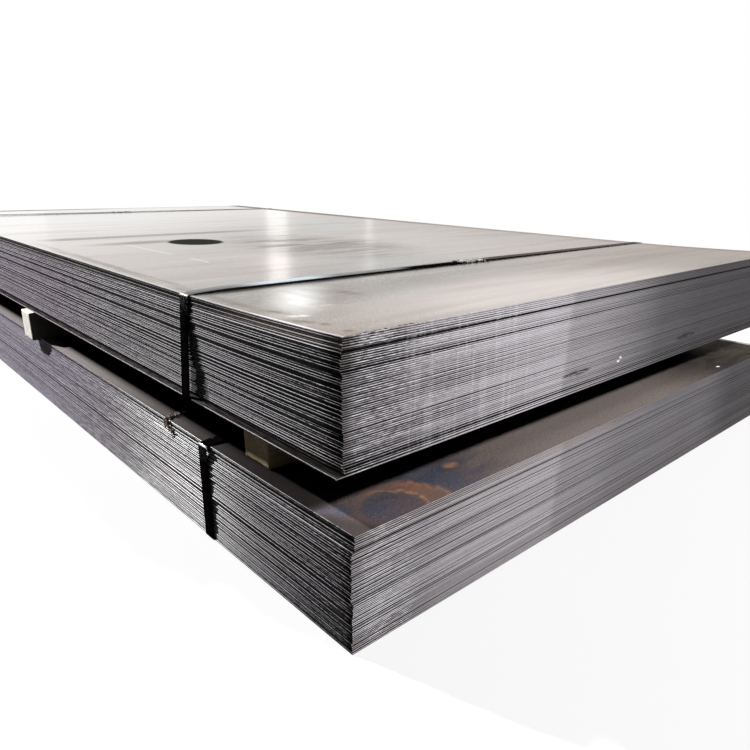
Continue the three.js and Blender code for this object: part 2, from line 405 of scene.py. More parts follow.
lowerLook = {
    "oxide": 0.97, "oxideRough": 0.42,
    "dull": (108, 97, 92), "blue": (70, 70, 80), "side": (86, 74, 76), "plum": (82, 75, 84),
    "blued": (66, 74, 88), "warm": (120, 97, 86), "pale": (119, 110, 106),
    "right": (50, 45, 46), "rightOlive": (64, 61, 53),
    "speckDark": (34, 30, 30), "speckPale": (150, 138, 130),
    "arc": (116, 90, 76), "arcRed": (142, 96, 80), "arcRings": (168, 132, 104),
    "bruise": (62, 56, 66), "bruiseRust": (166, 124, 96),
    "rightRim": (186, 176, 160), "nick": (246, 244, 240), "gapShade": (24, 20, 21),
    "strip": (27, 25, 24), "stripFar": (140, 133, 131), "stripNear": (58, 53, 51),
    "stripGrit": (40, 36, 38),
}


def lowerMarks(f, colour, rough, smear):
    # blued and oxidised, with a rust coloured arc near the end
    x, y = f.fromCorner[:2]
    blue = f.grain((7, 12, 1), 4, 0.6, twist=1.2).band(0.44, 0.58) * x.band(0.32, 0.18)
    plum = f.larger(f.spot(0.062, 0.010, 0.035, 0.03, 0.6), f.spot(0.19, 0.003, 0.05, 0.022, 0.6))
    blued = f.larger(
        f.spot(0.022, 0.040, 0.022, 0.016, 0.7), f.spot(0.172, 0.018, 0.036, 0.034, 0.8),
        f.spot(0.055, 0.017, 0.018, 0.016, 0.7),
    )
    warm = f.grain((9, 15, 1), 4, 0.6, twist=1.4).band(0.52, 0.66)
    pale = x.band(0.22, 0.42) * x.band(1.0, 0.7)
    mottle = f.grain((9, 22, 1), 4, 0.6, twist=0.8).band(0.42, 0.62)
    grit = f.grain((330, 330, 1), 3, 0.65)
    bend = 0.022 * (f.grain((26, 26, 1), 4, 0.6, twist=1.2) - 0.5)

    def circle(middleX, middleY, radius):
        return f.distance((x - middleX + bend) / radius, (y - middleY + bend) / radius)

    inner, outer = circle(0.0765, 0.006, 0.0413), circle(0.0896, -0.003, 0.065)
    patchy = f.grain((70, 110, 1), 4, 0.7, twist=1.2).band(0.34, 0.58)
    arc = inner.band(0.78, 1.08) * outer.band(1.12, 0.88) * x.band(0.02, 0.10, 0.55, 1.0)
    red = f.spot(0.130, 0.040, 0.016, 0.030, 0.7)
    # painted glints: pale streaks along the edges of the tint arc
    rings = inner.near(1.04, 0.12, 0.0) * x.band(0.06, 0.10)
    rings = f.larger(rings, outer.near(0.94, 0.12, 0.0) * x.band(0.12, 0.14) * 0.5)
    dull = f.layers(
        "dull",
        (blue, "blue"),
        (x.band(0.26, 0.12) * (1 - blue), "side"),
        (plum * 0.7, "plum"),
        (blued * 0.6, "blued"),
        (warm * 0.35 * x.band(0.5, 0.3), "warm"),
        (pale * 0.8, "pale"),
        (x.band(0.7, 1.05), f.blend(mottle, "right", "rightOlive")),
        (grit.band(0.52, 0.64) * 0.4, "speckDark"),
        (grit.band(0.42, 0.3) * 0.3, "speckPale"),
        (arc * (0.4 + 0.4 * patchy), "arc"),
        (arc * red * (0.3 + 0.4 * patchy), "arcRed"),
        (arc * rings * (0.1 + 0.5 * patchy), "arcRings"),
        (f.spot(0.211, 0.042, 0.021, 0.016, 0.4) * 0.4, "bruise"),
        (f.spot(0.212, 0.042, 0.011, 0.0075, 0.7) * (0.25 + 0.5 * patchy), "bruiseRust"),
        (x.band(1.232, 1.238) * 0.8, "rightRim"),
        (f.spot(0.986, 0.0015, 0.0055, 0.003, 0.3), "nick"),
        # painted shade: deeper in under the upper bundle the top sheet is near black
        (y.band(0.055, 0.11) * x.band(1.0, 0.6), "gapShade"),
    )
    # a dark strip beside the left edge, wide and soft at the corner
    corner = y.band(0.08, 0.04)
    strip = f.layers(
        "strip", (y.band(0.15, 1.0), "stripFar"), (corner, "stripNear"),
        (grit.band(0.44, 0.6) * 0.3, "stripGrit"),
    )
    soft = (x + 0.5 * y).band(0.046, 0.014) * corner
    sharp = (x - y.band(0.15, 0.05) * 0.014).band(0.030, 0.008) * (1 - corner)
    dull = f.blend(f.larger(soft, sharp), dull, strip)
    return colour, f.larger(rough, f.look["oxideRough"]), f.look["oxide"], dull


edgeLook = {
    # tone of the cut ends by distance from the left corner, in metres: painted shade that deepens
    # to the right, with a painted shadow edge near 0.41 m
    "cutShadeTone": (
        (0.0, 196), (0.03, 218), (0.09, 226), (0.22, 220), (0.36, 214), (0.40, 208), (0.412, 184),
        (0.5, 174), (0.6, 147), (0.7, 110), (0.85, 90), (1.0, 82), (1.25, 70),
    ),
    "cutTint": (250, 244, 250), "cutSpark": (240, 236, 240), "cutWarm": (190, 176, 168),
    "cutBackShade": (132, 126, 122), "olive": (112, 106, 92), "cutLower": (116, 112, 115),
    "cutGleam": (220, 214, 219), "cutFoot": (250, 246, 250), "cutLowest": (104, 94, 98),
    "cutOwn": (84, 80, 82), "cutDash": (50, 47, 46), "cutPits": (90, 86, 88),
    "cutDrift": (84, 80, 84),
    "mill": (156, 153, 156), "millFar": (156, 144, 157), "millRear": (168, 164, 160),
    "millLit": (196, 195, 195), "millNear": (196, 193, 196), "millLower": (151, 147, 165),
    "millSpots": (78, 72, 78), "millBare": (214, 208, 212), "millOwn": (60, 56, 58),
    "millWet": (96, 88, 84), "browned": (92, 80, 72),
    "base": (16, 15, 16), "baseFar": (68, 62, 70), "baseRear": (44, 41, 40),
    "baseBrown": (112, 100, 94), "dusk": (20, 19, 20), "strapShadow": (14, 13, 13),
    "seamShade": (9, 8, 8), "rust": (186, 112, 66), "rustFleck": (196, 116, 62),
    "soiled": (44, 40, 42), "chips": (250, 250, 248),
}


def plateEdgeFinish():
    # the ends are cut and bright, the long mill edges are rounded and dark with bright arrises
    f = Finish("plate_edge", edgeLook, Specular_IOR_Level=0.02)
    x, y, z = f.fromCorner
    isUpper, isLower = f.isUpper, 1 - f.isUpper
    height, seed = f.attribute("edgeHeight"), f.attribute("sheetSeed")
    gapOver, gapUnder = f.attribute("gapOver"), f.attribute("gapUnder")
    browned = f.attribute("sheetBrown")
    facingX, facingY = [abs(part) for part in f.facing()[:2]]
    outside = abs(f.x + 0.002).band(0.610, 0.614) * facingY.band(0.5, 0.2)
    mill = f.larger(facingX.band(0.3, 0.6), outside)

    def onSheet(perMetre, through, detail=3.0):
        # noise that runs along each edge and starts anew on the next sheet
        where = f.node("CombineXYZ", {}, {
            0: f.x * perMetre, 1: f.y * perMetre, 2: seed * 317 + height * through,
        })
        return f.grain((1, 1, 1), detail, 0.6, where)

    speckle = onSheet(260, 2.5)
    dash = onSheet(100, 0.8)
    drift = onSheet(5, 0.0, 2.0)
    own = f.fraction(seed * 7.31)  # of each sheet
    bold = f.fraction(seed * 5.7).band(0.70, 0.76)
    broad = f.grain((2.2, 2.2, 9))
    pits = f.grain((300, 300, 900), 3, 0.7)

    # the cut ends, darker from the left corner to the right one: painted shade, its shadow edge
    # slanted with height
    last = edgeLook["cutShadeTone"][-1][0]
    stops = [(place / last, linear(tone)) for place, tone in edgeLook["cutShadeTone"]]
    slanted = x + 0.03 * (broad - 0.5) - 0.1 * (z - 0.3)
    tone = f.node("ValToRGB", {"stops": stops}, {"Fac": slanted / last})
    front = y.band(1.3, 1.1)
    nearEnd = x.band(0.30, 0.04) * (0.3 + 0.7 * isUpper) * front
    columns = f.grain((130, 1, 7), 3, 0.6).band(0.48, 0.66)
    columns = columns * x.near(0.20, 0.18, 0.08) * isUpper * front
    spark = dash.band(0.53, 0.6) * x.near(0.055, 0.045, 0.02)
    streak = onSheet(36, 0.3, 2.0).band(0.54, 0.6) * x.near(0.028, 0.02, 0.012)
    worn = dash.band(0.46, 0.53) * x.near(0.042, 0.036, 0.012) * z.band(0.358, 0.362)
    olive = x.band(0.030, 0.004) * 0.62 * z.band(0.32, 0.34)
    olive = f.larger(olive, x.band(0.012, 0.003) * 0.4 * isUpper)
    cut = f.layers(
        f.blend(1.0, tone, "cutTint", "MULTIPLY"),
        (f.attribute("sheetWarm") * x.band(0.7, 0.3) * 0.3, "cutWarm"),
        (isLower * x.band(0.03, 0.12) * 0.22, "cutLower"),
        # painted highlight: a paler gleam across the lower bundle's end
        (isLower * x.near(0.78, 0.26, 0.08) * 0.17, "cutGleam"),
        (x.band(0.12, 0.04) * z.band(0.13, 0.06) * 0.65, "cutFoot"),
        (z.band(0.027, 0.021) * 0.35, "cutLowest"),
        # painted shade: the far ends are darker to offset the sun that falls full on them
        (y.band(1.1, 1.3), "cutBackShade"),
        (own * (0.12 + 0.3 * nearEnd), "cutOwn"),
        # painted highlights: bright columns, sparks and streaks on the cut ends near the corner;
        # the worn dashes are wear
        (columns * 0.3, "cutSpark"),
        (f.larger(spark * 0.8, streak, worn * 0.8) * front, "cutSpark"),
        (nearEnd * dash.band(0.46, 0.4) * 0.45, "cutDash"),
        (olive * front, "olive"),
        (pits.band(0.44, 0.34) * 0.4, "cutPits"),
        (drift.band(0.52, 0.66) * 0.14, "cutDrift"),
    )
    # painted shade in the seams between sheets, over their real narrow gaps
    parting = x.band(0.1, 0.9, 0.32, 0.38)
    wide = (
        x.band(0.06, 0.40, 0.50, 0.22) + parting * gapUnder + 0.1 * bold + 0.08 * (own - 0.5)
        + 0.08 * z.band(0.30, 0.34) * x.band(0.25, 0.05)
    )
    seamShade = (height - wide).band(0.0, -0.12) * (1 - 0.4 * worn) * (1 - 0.3 * columns)
    seamShade = f.larger(seamShade, (height + parting * gapOver).band(0.88, 0.96))
    # painted shade in the seams fades to the right, and more where the sheets are pressed together
    together = f.grain((1.5, 1.5, 60), 2).band(0.42, 0.58, 0.35, 1.0)
    fade = x.band(0.5, 0.15, 0.5, 0.95) * f.larger(together, 1 - abs(x).band(0.05, 0.2))
    shut = x.band(0.3, 0.75) * z.band(0.352, 0.345)  # only the topmost gap stays open
    apart = f.larger(gapUnder.band(0.1, 0.5), gapOver.band(0.1, 0.5))
    fade = f.larger(fade, apart * (0.98 - 0.5 * shut), (1 - front) * 0.75)
    cut = f.blend(seamShade * fade, cut, "seamShade")

    # painted light and shade: the share of a mill edge's thickness that is bright grows away from
    # the near end, and on the lower bundle the lit zone, where the sun glints on the rounded edges,
    # is painted paler
    lit = y.band(0.14, 0.38) * y.band(0.80, 0.46) * isLower
    shaded = browned * y.band(0.05, 0.3)
    mixed = browned * y.band(0.32, 0.14)
    sprung = y.band(0.9, 0.2) * gapOver
    share = (
        y.band(-0.02, 0.36, 0.03, 0.33) - 0.10 * lit + 0.08 * isLower * y.band(0.25, 0.6)
        + 0.16 * mixed + y.band(0.0, 0.3, 0.08, 0.2) * (drift + own - 1)
        - 0.1 * shaded + 0.2 * sprung
    )
    rear = x.band(0.6, 0.65)  # the long side away from the sun
    uneven = 1 - f.larger(0.75 * rear, 0.55 * y.band(0.7, 1.4))
    level = y.band(0.0, 0.3, 0.2, 0.55) * (speckle - 0.5) + 0.35 * (dash - 0.5)
    level = height + uneven * level
    bright = level.band(0.92 - share, 1.02 - share)
    far = y.band(0.45, 1.2)
    mottle = onSheet(36, 0.0, 2.0).band(0.36, 0.62)
    spotted = y.band(0.3, 0.6)
    # painted glints: pale flecks on the upper bundle's mill edges from about 0.2 m to 1 m along
    glint = speckle.band(0.54, 0.62) * y.band(0.18, 0.4) * y.band(1.0, 0.6) * isUpper
    group = f.grain((0.5, 0.5, 120), 2, 0.6).band(0.4, 0.6)  # sheets that have stood out in the wet
    pale = f.layers(
        "mill",
        (far, "millFar"),
        (y.band(0.26, 0.02) * (0.1 + 0.32 * isUpper), "millNear"),
        (far * isLower * 0.7, "millLower"),
        (rear * far, "millRear"),
        (lit, "millLit"),
        ((1 - mottle) * uneven * spotted * 0.5, "millSpots"),
        (mottle * uneven * spotted * 0.25, "millBare"),
        (glint * 0.6, "millLit"),
        (shaded * 0.5, "browned"),
        (own * 0.45 * (1 - sprung), "millOwn"),
        (rear * group * 0.5, "millWet"),
    )
    base = f.layers(
        "base", (far * (1 - shaded), "baseFar"), (rear * far, "baseRear"),
        (mixed * speckle, "baseBrown"),
    )
    # painted shade in the seams: most are pressed shut away from the near end, some stand open all
    # the way
    gape = 0.55 + 0.2 * lit + 0.3 * gapUnder * y.band(0.9, 0.2)
    seamShade = f.larger(
        (height - 0.32).band(0.0, -0.16) * y.band(0.14, 0.42, 0.96, 0.62),
        (height - gape).band(0.0, -0.16) * bold,
        height.band(0.94, 1.0) * y.band(0.1, 0.3, 0.2, 0.6),
        rear * (height - 0.32 - 0.5 * bold).band(0.0, -0.16) * 0.9,
    )
    # painted shade: the lower bundle's mill edges darken towards the floor by the near corner
    dusk = isLower * y.band(0.28, 0.0) * z.band(0.13, 0.03)
    # painted shadow of the near strap: the edges beside it darken in a wedge that widens downwards
    run = strapPlaces["near"] - y - 0.25 * (0.365 - z) + 0.012 * (dash - 0.5)
    run = run.band(0.022, 0.012) * y.band(0.365, 0.36) * isUpper
    dark = f.layers(
        base, (bright, pale), (seamShade * 0.97, "seamShade"), (dusk * 0.4, "dusk"),
        (run * 0.8, "strapShadow"),
    )

    def fleck(atX, atZ, wide, high):
        shape = f.distance((x - atX) / wide, (z - atZ) / high)
        return shape.band(1.3, 0.8) * y.band(0.1, 0.05)

    specks = f.grain((130, 130, 260), 3, 0.6).band(0.68, 0.74) * broad.band(0.45, 0.6)
    soiled = f.larger(fleck(0.802, 0.2488, 0.034, 0.0048), fleck(0.440, 0.2475, 0.034, 0.0036))
    soiled = soiled * f.grain((70, 1, 500), 3, 0.6).band(0.38, 0.5)
    chips = f.larger(fleck(0.561, 0.2440, 0.004, 0.0020), fleck(0.567, 0.2490, 0.0035, 0.0020))
    colour = f.layers(
        cut,
        (mill, dark),
        (specks * 0.5, "rust"),
        (fleck(0.0015, 0.0165, 0.0024, 0.0016) * 0.7, "rustFleck"),
        (soiled * 0.8, "soiled"),
        (chips * 0.9, "chips"),
    )
    gleam = mill * lit * bright  # bare metal that glints on the rounded edges
    rough = 0.6 + 0.15 * (broad - 0.5) - 0.22 * gleam
    metal = f.larger(0.4 * (1 - mill), 0.10 * gleam)
    return f.feed(
        Base_Color=colour, Roughness=rough, Metallic=metal, Normal=f.bump(pits, 0.5, 0.0005),
    )


upperFace = plateFaceFinish("upper_plate_face", faceLook, upperMarks)
lowerFace = plateFaceFinish("lower_plate_face", faceLook | lowerLook, lowerMarks)
plateEdge = plateEdgeFinish()
print("plate finishes made")


# The plates, sheet by sheet

plates = {
    "wide": 1250, "long": 2500, "thick": 2.5, "air": 0.1,
    "sideScatter": 0.9, "endScatter": 0.8,
    "step": 40,  # length of the pieces that an edge is made of
    "waves": (90, 300), "cutUneven": 0.5, "waver": (0.06, 0.05),  # of the edge, short and long
    # height in the thickness, and how far in the rounded mill edge and the cut edge are there
    "edgeRows": (
        (0.0, 0.90, 0.25), (0.18, 0.42, 0.05), (0.6, 0.08, 0.0), (1.25, 0.0, 0.02),
        (1.9, 0.08, 0.04), (2.32, 0.42, 0.14), (2.5, 0.90, 0.45),
    ),
    "springPower": 1.6, "springSteps": 8,
    "fullGap": 0.6, "wideGap": 2, "faintGap": 0.2,  # how the gaps between them are drawn
    "browned": ("upper_lift_top", "upper_sheet_top", "upper_lift_second"),
    "warmEnds": ("lower_lift_top", "lower_sheet_top"),
}

bundles = {
    "lower": {
        "middleX": -3.5, "nearEnd": -1257.98, "low": 0.9, "springFrom": 178.5, "face": lowerFace,
        "strapIn": 347,
        "lifts": (
            # count, rise, step, across, along, lean
            ("lower_sheet_bottom", 1, 0, 0, -1.5, 0, 0),
            ("lower_lift_base", 12, 0, 0, 0.5, 0.5, 2),
            ("lower_lift_low", 13, 0.25, 0, 0.8, 0, 1.6),
            ("lower_lift_middle", 13, 0.5, 0, 0.2, 0.5, 1.8),
            ("lower_lift_high", 12, 0.8, 0, 0.4, 0, 2),
            ("lower_lift_top", 6, 1.6, 0.04, 4, -1.2, 1.2),
            ("lower_sheet_top", 1, 2, 0, 3.6, -1.6, 0),
        ),
    },
    "upper": {
        "middleX": 0, "nearEnd": -1241.48, "low": 216, "springFrom": 339.5, "face": upperFace,
        "strapIn": 360,
        "lifts": (
            ("upper_sheet_bottom", 1, 0, 0, -9, 1.5, 0),
            ("upper_lift_second", 2, 2.2, 0.3, 1.2, -0.5, 0.6),
            ("upper_lift_loose", 5, 2.9, 0.5, 0.4, 0.5, 1.6),
            ("upper_lift_low", 10, 5.05, 0, 2.2, 0, 2.4),
            ("upper_lift_middle", 10, 5.2, 0, 0.4, 0.4, 0.8),
            ("upper_lift_inner", 9, 5.32, 0, 1.2, 0.2, 0.8),
            ("upper_lift_high", 7, 5.45, 0, 1, 0, 1.8),
            ("upper_lift_fanned", 8, 5.75, 0.03, 0.8, 0.5, 2),
            ("upper_lift_top", 5, 6.85, 0.05, 2.8, -0.5, 1),
            ("upper_sheet_top", 1, 7.2, 0, 2.4, -1, 0),
        ),
    },
}


def scatter(n, salt):
    # the same uneven lining up as the solids have, -1 to 1
    wave = math.sin(n * 12.9898 + salt * 78.233) * 43758.5453
    return 2 * (wave - math.floor(wave)) - 1


def alongEdge(long, springFrom):
    # places along the length, closer together where the sheets spring apart
    spring = np.linspace(0, springFrom, plates["springSteps"] + 1)
    rest = np.linspace(springFrom, long, round((long - springFrom) / plates["step"]) + 1)
    return np.concatenate([spring, rest[1:]])


def sheetMesh(left, near, low, rise, bundle, salt):
    # one sheet: rows of points round its edge, closed by strips over its two faces
    wide, long = plates["wide"], plates["long"]
    xs = np.linspace(0, wide, round(wide / plates["step"]) + 1)
    ys = alongEdge(long, bundle["springFrom"])
    nx, ny = len(xs) - 1, len(ys) - 1
    ring = [(x, 0) for x in xs] + [(wide, y) for y in ys[1:]]
    ring += [(x, long) for x in xs[-2::-1]] + [(0, y) for y in ys[-2:0:-1]]
    ring = np.array(ring, float)
    count = len(ring)
    rows = plates["edgeRows"]
    short, slow = plates["waves"]
    wobble = np.array([
        [ripple(x / short, y / short, salt * 1.7), ripple(x / slow + 9, y / slow, salt * 2.3)]
        for x, y in ring
    ])
    uneven = 1 + plates["cutUneven"] * wobble[:, 0]
    waver = plates["waver"][0] + plates["waver"][1] * wobble[:, 1]
    points, heights = [], []
    for height, mill, cut in rows:
        x = np.clip(ring[:, 0], mill * uneven + waver, wide - mill * uneven - waver) + left
        y = np.clip(ring[:, 1], cut * uneven + waver, long - cut * uneven - waver) + near
        sprung = (bundle["nearEnd"] + bundle["springFrom"] - y) / bundle["springFrom"]
        z = low + height + rise * np.clip(sprung, 0, None) ** plates["springPower"]
        points.append(np.column_stack([x, y, z]))
        heights += [height / plates["thick"]] * count
    faces = skin(len(rows), count)
    kinds = [1] * len(faces)

    def leftAt(j):
        return 0 if j == 0 else 2 * nx + 2 * ny - j

    def strips(base, flip):
        made = [list(range(nx + 1)) + [nx + 1, leftAt(1)]]
        for j in range(1, ny - 1):
            made.append([leftAt(j), nx + j, nx + j + 1, leftAt(j + 1)])
        made.append([nx + ny - 1] + list(range(nx + ny, 2 * nx + ny + 1)) + [leftAt(ny - 1)])
        return [tuple(base + n for n in (loop[::-1] if flip else loop)) for loop in made]

    sides = strips(0, True) + strips((len(rows) - 1) * count, False)
    return np.concatenate(points), faces + sides, kinds + [0] * len(sides), heights


def buildLift(bundle, lift, firstSheet, low):
    name, count, rise, step, across, along, lean = lift
    points, faces, kinds, edges = [], [], [], []
    values = {"edgeHeight": [], "sheetSeed": [], "gapOver": [], "gapUnder": [], "sheetCovered": []}
    gaps = bundle["gaps"]
    for n in range(count):
        sheet = firstSheet + n
        leaning = lean * (1 - n / (count - 1)) if count > 1 else 0
        off = across - leaning + plates["sideScatter"] * scatter(sheet, 1)
        left = bundle["middleX"] + off - plates["wide"] / 2
        near = bundle["nearEnd"] + along + plates["endScatter"] * scatter(sheet, 2)
        z = low + n * (plates["thick"] + plates["air"])
        made = sheetMesh(left, near, z, rise + step * n, bundle, bundle["low"] + sheet)
        base = sum(map(len, points))
        points.append(made[0])
        faces += [tuple(base + k for k in loop) for loop in made[1]]
        kinds += made[2]
        values["edgeHeight"] += made[3]
        for key, value in (
            ("sheetSeed", 0.5 + 0.5 * scatter(sheet, 5)),
            ("gapOver", gaps[sheet]),
            ("gapUnder", gaps[sheet - 1] if sheet else 0.0),
            ("sheetCovered", float(sheet < len(gaps) - 1)),
        ):
            values[key] += [value] * len(made[0])
        edges.append((left, left + plates["wide"], z + plates["thick"]))
    points = np.concatenate(points) * mm
    for key, names in ("sheetBrown", "browned"), ("sheetWarm", "warmEnds"):
        values[key] = [float(name in plates[names])] * len(points)
    mesh = makeMesh(
        name + "_plates", points.tolist(), faces, [bundle["face"], plateEdge], kinds,
        [kind == 1 for kind in kinds],
    )
    setValues(mesh, **values)
    piece = makePiece(name + "_plates", mesh)
    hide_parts(name)
    return low + count * plates["thick"] + (count - 1) * plates["air"], edges


def drawnGap(below, above):
    # how dark the painted shade in the gap over a sheet is: little where the sheets of one lift
    # only fan out and where the gap is a wide one
    wide = above[0] - below[0]
    faint = above[1] == below[1] or wide > plates["wideGap"]
    return min(wide / plates["fullGap"], 1) * (plates["faintGap"] if faint else 1)


for bundle in bundles.values():
    low, firstSheet, edges = bundle["low"], 0, []
    rises = [(lift[2] + lift[3] * n, lift[0]) for lift in bundle["lifts"] for n in range(lift[1])]
    bundle["gaps"] = [drawnGap(*pair) for pair in zip(rises, rises[1:])] + [0.0]
    for lift in bundle["lifts"]:
        low, made = buildLift(bundle, lift, firstSheet, low)
        firstSheet += lift[1]
        edges += made
    bundle["high"] = low
    bundle["edges"] = edges
print("plates built")


# Straps and seals

straps = {
    "wide": 25, "thick": 0.9, "clear": 0.3, "lean": 0.2, "footSheets": 4,
    "bow": 3, "bowStart": 8, "bowRun": 52,
    "bowShares": (0, 0.03, 0.1, 0.22, 0.4, 0.7, 1),
    "legShares": (0.2, 0.4, 0.6, 0.8, 0.9, 0.98),
    "bottomPoints": 12, "bottomMargin": 30, "topPoints": 22, "topMargins": (100, 20),
    "edge": 0.28,  # rounding of its edges
    "corner": 1.5,  # radius that it bends round a corner
    "ridge": 1.8,  # width of the bare bend
    "ridgeHigh": 1.5, "scuffHigh": 26,  # how far down the bare bend and its scuffs reach
    "farIn": 300,
    "smoothBelow": 50,  # degrees
    "lacquer": (6, 5, 6), "dusty": (24, 20, 18), "right": (46, 37, 36), "strapSheen": (142, 154, 162),
    "scuffed": (190, 188, 190),
}

seals = {
    "long": 80, "thick": 1.0, "off": 32, "bow": 2,
    "crimps": (-28.5, -9.5, 9.5, 28.5),
    "crimpHalf": 4.0, "crimpFlat": 0.6, "crimpDepth": 2.6, "crimpLift": 0.7,
    "crimpPoints": (-4, -2.4, -0.8, 0.8, 2.4, 4),
    "sides": 8,  # of each of its two loops
    "roundOut": 0.6, "roundIn": 0.4,  # how far its folds are rounded
    "lip": 0.8, "smoothBelow": 40,
    "zinc": (150, 150, 150), "zincPale": (224, 222, 218), "black": (24, 22, 22),
}


def strapFinish():
    # lacquer that still shines on top and is dull with dust on the upright runs
    f = Finish("strap_lacquer", straps)
    x, y = f.fromCorner[:2]
    worn = f.grain((70, 300, 120), 4, 0.65)
    dust = f.grain((12, 40, 40))
    bend = f.attribute("strapBend")
    upward = f.facing()[2].band(0.7, 0.95)
    # dull on the near half of its middle and to the right of the seal
    place = strapPlaces["near"]
    inMiddle = x.near(0.50, 0.12, 0.07)
    middle = inMiddle * y.near(place, 0.006, 0.003)
    nearHalf = (y - place).band(0.005, 0.001) * inMiddle
    first = y.band(0.6, 0.5)  # not the far strap
    right = x.band(0.58, 0.66) * first
    shiny = (1 - f.larger(middle, nearHalf, right * 0.8)) * f.isUpper
    curls = f.grain((160, 160, 160), 2, 0.5, twist=1.2).near(0.5, 0.03, 0.01)
    scuff = f.larger(
        worn.band(0.70, 0.76) * upward,
        bend.band(0.0, 1.0) * curls * (0.05 + 0.12 * f.isUpper),
        bend.band(1.5, 2.0) * worn.band(0.36, 0.44),
    )
    # painted reflection: a pale bluish sheen on the near strap's top, near its left end
    strapSheen = x.near(0.17, 0.10, 0.03) * upward * f.isUpper * first
    colour = f.layers(
        "lacquer",
        (dust.band(0.5, 0.75) * 0.3, "dusty"),
        (right * upward * f.isUpper, "right"),
        (strapSheen * 0.8, "strapSheen"),
        (scuff, "scuffed"),
    )
    rough = 0.3 - 0.1 * scuff + 0.2 * (dust - 0.5)
    normal = f.bump(worn, 0.25, 0.0005)
    f.cover((1 - upward * shiny) * (1 - scuff), f.dull(colour, normal))
    return f.feed(Base_Color=colour, Roughness=rough, Metallic=scuff * 0.8, Normal=normal)


def sealFinish():
    f = Finish("seal_zinc", seals, Metallic=1.0)
    spangle = f.grain((320, 320, 320))
    worn = f.grain((110, 60, 110), 3, 0.6, twist=1.0)
    zinc = f.blend(spangle.band(0.3, 0.7), "zinc", "zincPale")
    colour = f.blend(worn.band(0.47, 0.53), "black", zinc)
    return f.feed(
        Base_Color=colour, Roughness=0.3 + 0.2 * spangle, Normal=f.bump(spangle, 0.3, 0.0004),
    )


strapLacquer = strapFinish()
sealZinc = sealFinish()


def crimpShare(x, sealX):
    # 1 in the middle of a crimp, 0 away from it
    near = min(abs(x - sealX - place) for place in seals["crimps"])
    half = seals["crimpHalf"]
    t = np.clip((near - half) / (seals["crimpFlat"] - half), 0, 1)
    return float(t * t * (3 - 2 * t))


def bowPlaces(left):
    # where the slack top run rises off the top sheet
    return [left + straps["bowStart"] + straps["bowRun"] * share for share in straps["bowShares"]]


def bowAt(x, left, right, sealX):
    # how far the slack top run stands off the top sheet
    places = bowPlaces(left)
    places += [sealX - seals["long"], sealX + seals["long"], right - straps["bowStart"]]
    heights = [straps["bow"] * math.sqrt(share) for share in straps["bowShares"]]
    heights += [seals["bow"], seals["bow"], 0]
    return float(np.interp(x, places, heights))


def strapEnds(bundle, side):
    # how far out the foot and the head of an upright run stand
    def out(edge):
        return -edge[0] if side < 0 else edge[1]

    bottom, rest = bundle["edges"][:straps["footSheets"]], bundle["edges"][straps["footSheets"]:]
    foot = straps["clear"] + straps["lean"] + max(out(edge) for edge in bottom)
    tall = bundle["high"] - bundle["low"]
    head = max(
        foot + (out(edge) + straps["clear"] - foot) * tall / (edge[2] - bundle["low"])
        for edge in rest
    )
    return side * foot, side * head


def roundCorners(loop, radius, steps=5):
    # replaces the marked corners of a closed loop by arcs
    made = []
    for n, (point, bends) in enumerate(loop):
        if not bends:
            made.append(point)
            continue
        before, after = loop[n - 1][0], loop[(n + 1) % len(loop)][0]
        a = (before - point).normalized() * radius
        b = (after - point).normalized() * radius
        for k in range(steps + 1):
            t = k / steps
            made.append(point + a * (1 - t) ** 2 + b * t ** 2)
    return made


def strapPath(bundle):
    # the middle of the strap's thickness, in (X, Z), once round the bundle
    half = straps["thick"] / 2
    leftFoot, leftHead = strapEnds(bundle, -1)
    rightFoot, rightHead = strapEnds(bundle, 1)
    low, high = bundle["low"] - half, bundle["high"] + half
    sealX = bundle["middleX"] - seals["off"]
    top = set(bowPlaces(leftHead))
    top |= {sealX + place + k for place in seals["crimps"] for k in seals["crimpPoints"]}
    top |= {leftHead + straps["ridge"], rightHead - straps["ridge"]}
    leftIn, rightIn = straps["topMargins"]
    top |= set(np.linspace(leftHead + leftIn, rightHead - rightIn, straps["topPoints"]))

    def leg(foot, head, out, shares):
        return [(foot + out + (head - foot) * t, low + (high - low) * t, False) for t in shares]

    # X, Z and whether it bends there
    loop = [(leftFoot - half, low, True)]
    margin = straps["bottomMargin"]
    bottom = np.linspace(leftFoot + margin, rightFoot - margin, straps["bottomPoints"])
    loop += [(x, low, False) for x in bottom]
    loop.append((rightFoot + half, low, True))
    loop += leg(rightFoot, rightHead, half, straps["legShares"])
    loop.append((rightHead + half, high, True))
    for x in sorted(top, reverse=True):
        loop.append((x, high + bowAt(x, leftHead, rightHead, sealX), False))
    loop.append((leftHead - half, high, True))
    loop += leg(leftFoot, leftHead, -half, straps["legShares"][::-1])
    loop = [(Vector((x, z)), bends) for x, z, bends in loop]
    return roundCorners(loop, straps["corner"]), sealX


def strapSection(narrow):
    # rounded oblong, as (across the strap, through it)
    half, thick, edge = straps["wide"] / 2 - narrow, straps["thick"] / 2, straps["edge"]
    corner = [(math.cos(a), math.sin(a)) for a in np.radians((90, 45, 0))]
    loop = []
    for sx, sz in ((1, 1), (1, -1), (-1, -1), (-1, 1)):
        part = [(sx * (half - edge + edge * c), sz * (thick - edge + edge * s)) for c, s in corner]
        loop += part if sx * sz > 0 else part[::-1]
    return loop


